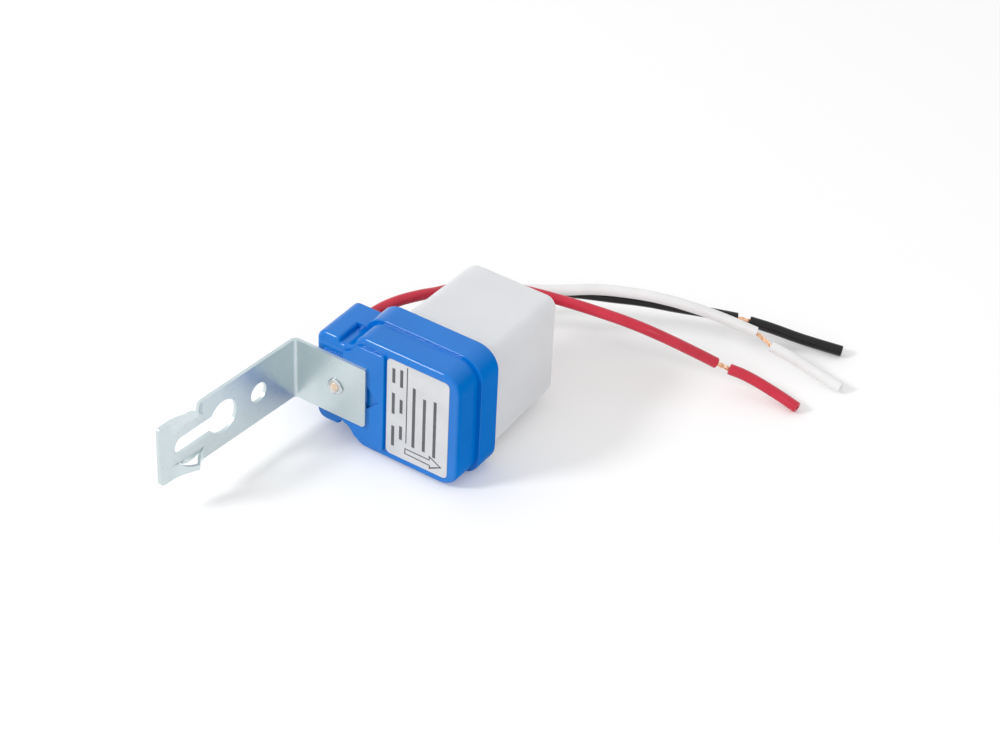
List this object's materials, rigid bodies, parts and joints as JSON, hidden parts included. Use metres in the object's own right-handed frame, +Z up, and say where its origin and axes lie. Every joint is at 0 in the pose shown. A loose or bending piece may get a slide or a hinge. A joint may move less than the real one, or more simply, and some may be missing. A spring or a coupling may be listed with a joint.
{
  "type": "photocell switch",
  "caption": "Photocell light switch with a blue base, a milky cover, a bent zinc-plated bracket with a keyhole, and red, white and black leads.",
  "frame": {"origin": "on the surface that the part stands on, under the middle of the box round base, cover and bracket", "axes": "+X from the wire head to the base's far end, +Y from the label to the cover, +Z up, across the base"},
  "size_m": [0.0981, 0.1409, 0.032],
  "materials": {
    "blue_plastic": "gloss",
    "milky_plastic": "satin",
    "label_film": "satin",
    "zinc_steel": "satin",
    "rivet_steel": "satin",
    "rivet_copper": "satin",
    "board_laminate": "satin",
    "relay_case": "gloss",
    "sensor_resin": "gloss",
    "capacitor_resin": "gloss",
    "capacitor_sleeve": "gloss",
    "resistor_tan": "satin",
    "resistor_blue": "satin",
    "dark_resin": "satin",
    "diode_glass": "gloss",
    "red_insulation": "satin",
    "white_insulation": "satin",
    "black_insulation": "satin",
    "bare_copper": "satin"
  },
  "bodies": {
    "root": {"base": "blue_plastic", "cover": "milky_plastic", "label": "label_film", "bracket": "zinc_steel", "rivet": "rivet_steel", "rivet_core": "rivet_copper", "rivet_washer": "zinc_steel", "circuit_board": "board_laminate", "relay": "relay_case", "light_sensor": "sensor_resin", "film_capacitor": "capacitor_resin", "electrolytic_capacitor": "capacitor_sleeve", "bleeder_resistor": "resistor_tan", "bias_resistor": "resistor_blue", "rectifier_diode": "dark_resin", "zener_diode": "diode_glass", "flyback_diode": "dark_resin", "transistor": "dark_resin", "lead_red": "red_insulation", "lead_red_copper": "bare_copper", "lead_red_sleeve": "red_insulation", "lead_white": "white_insulation", "lead_white_copper": "bare_copper", "lead_white_sleeve": "white_insulation", "lead_black": "black_insulation", "lead_black_copper": "bare_copper", "lead_black_sleeve": "black_insulation"}
  },
  "joints": []
}
